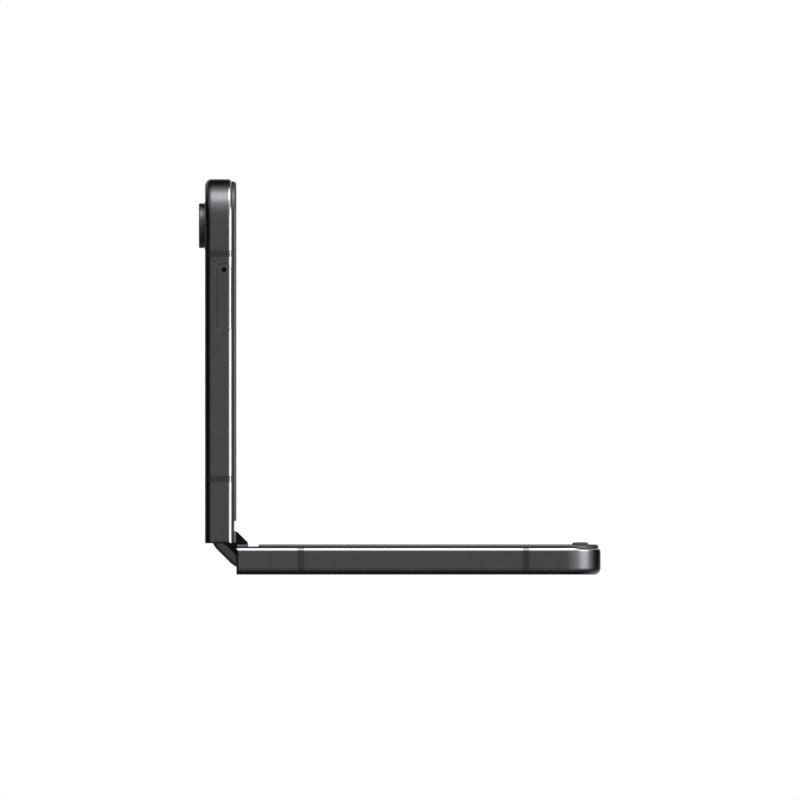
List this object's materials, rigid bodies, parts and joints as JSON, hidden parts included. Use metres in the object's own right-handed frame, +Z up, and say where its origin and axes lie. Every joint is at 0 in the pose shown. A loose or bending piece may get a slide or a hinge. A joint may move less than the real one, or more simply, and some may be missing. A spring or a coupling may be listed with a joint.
{
  "type": "foldable smartphone",
  "caption": "Clamshell phone that folds across its middle on a geared spine, standing half open, with a folding screen inside and a cover glass with camera rings outside.",
  "frame": {"origin": "on the ground under the middle of the half-open phone's box; the lower half's back glass lies on z = 0", "axes": "+X along the lower half, from the hinge to its far end; +Y across the width, towards the keys' side; +Z up, along the standing upper half"},
  "size_m": [0.091, 0.0722, 0.0896],
  "materials": {
    "frame_metal": "anodised graphite, satin",
    "back_glass": "black back glass, satin",
    "cover_glass": "black cover glass, glossy",
    "screen": "black folding screen, glossy",
    "cover_display": "dark panel behind the cover glass",
    "rim_plastic": "black moulded, fine grain",
    "cap_plastic": "black moulded",
    "pad_rubber": "black soft rubber",
    "band_plastic": "dark grey polymer",
    "spine_metal": "anodised graphite, satin",
    "steel_inner": "plain stamped steel",
    "hinge_steel": "machined steel",
    "mid_plate": "cast light alloy",
    "gear_brass": "machined",
    "ribbon": "amber polyimide film",
    "battery_foil": "black wrapped foil",
    "board_green": "solder mask",
    "port_steel": "drawn steel shell",
    "module_black": "black moulded",
    "coil_copper": "copper winding on ferrite",
    "ring_metal": "anodised graphite, polished edge",
    "lens_glass": "coated lens cover",
    "flash": "frosted diffuser"
  },
  "bodies": {
    "lower_half": {"lower_frame": "frame_metal", "lower_back_glass": "back_glass", "lower_mid_plate": "mid_plate", "lower_display_plate": "steel_inner", "lower_display_panel": "screen", "lower_bezel": "rim_plastic", "bumper_pads": "pad_rubber", "lower_antenna_bands": "band_plastic", "lower_battery": "battery_foil", "lower_board": "board_green", "charging_port": "port_steel", "loudspeaker": "module_black", "vibration_motor": "steel_inner", "charging_coil": "coil_copper", "lower_hinge_arms": "hinge_steel", "lower_screws": "hinge_steel"},
    "hinge_spine": {"spine_cover": "spine_metal", "hinge_base": "hinge_steel", "spine_caps": "cap_plastic", "pivot_pins": "hinge_steel", "idler_pins": "hinge_steel", "spine_screws": "hinge_steel", "display_fold": "screen", "ribbon_cables": "ribbon"},
    "lower_idler": {"lower_idler_gears": "gear_brass"},
    "upper_idler": {"upper_idler_gears": "gear_brass"},
    "upper_half": {"upper_frame": "frame_metal", "cover_glass": "cover_glass", "cover_display": "cover_display", "upper_mid_plate": "mid_plate", "upper_display_plate": "steel_inner", "upper_display_panel": "screen", "upper_bezel": "rim_plastic", "upper_antenna_bands": "band_plastic", "upper_battery": "battery_foil", "main_board": "board_green", "board_shields": "steel_inner", "camera_modules": "module_black", "camera_rings": "ring_metal", "camera_lenses": "lens_glass", "flash_lens": "flash", "front_camera": "module_black", "earpiece": "module_black", "tray_socket": "steel_inner", "upper_hinge_arms": "hinge_steel", "upper_screws": "hinge_steel", "key_bracket": "steel_inner", "key_switches": "gear_brass"},
    "power_key": {"power_key": "frame_metal"},
    "volume_key": {"volume_key": "frame_metal"},
    "card_tray": {"card_tray": "frame_metal"}
  },
  "joints": [
    {"name": "spine_fold", "type": "hinge", "parent": "lower_half", "child": "hinge_spine", "pos_m": [-0.0352, 0, 0.006], "axis": [0, 1, 0], "range_deg": [-45, 45.45], "deforming": ["display_fold", "ribbon_cables"]},
    {"name": "half_fold", "type": "hinge", "parent": "hinge_spine", "child": "upper_half", "pos_m": [-0.0381, 0, 0.0089], "axis": [0, 1, 0], "range_deg": [-45, 45.45]},
    {"name": "lower_idler_spin", "type": "hinge", "parent": "hinge_spine", "child": "lower_idler", "pos_m": [-0.03715, 0, 0.00554], "axis": [0, 1, 0], "range_deg": [-45, 45.45]},
    {"name": "upper_idler_spin", "type": "hinge", "parent": "hinge_spine", "child": "upper_idler", "pos_m": [-0.03856, 0, 0.00695], "axis": [0, 1, 0], "range_deg": [-45.45, 45]},
    {"name": "power_press", "type": "slide", "parent": "upper_half", "child": "power_key", "axis": [0, -1, 0], "range_m": [0, 0.00025], "stiffness_N_per_m": 4000},
    {"name": "volume_rock", "type": "hinge", "parent": "upper_half", "child": "volume_key", "pos_m": [-0.0412, 0.03413, 0.0616], "axis": [1, 0, 0], "range_deg": [-1.5, 1.5], "stiffness_Nm_per_rad": 0.25},
    {"name": "tray_slide", "type": "slide", "parent": "upper_half", "child": "card_tray", "axis": [0, -1, 0], "range_m": [0, 0.0125]}
  ],
  "couplings": [
    {"joint": "half_fold", "follows": "spine_fold", "ratio": 1},
    {"joint": "lower_idler_spin", "follows": "spine_fold", "ratio": 1},
    {"joint": "upper_idler_spin", "follows": "spine_fold", "ratio": -1}
  ]
}
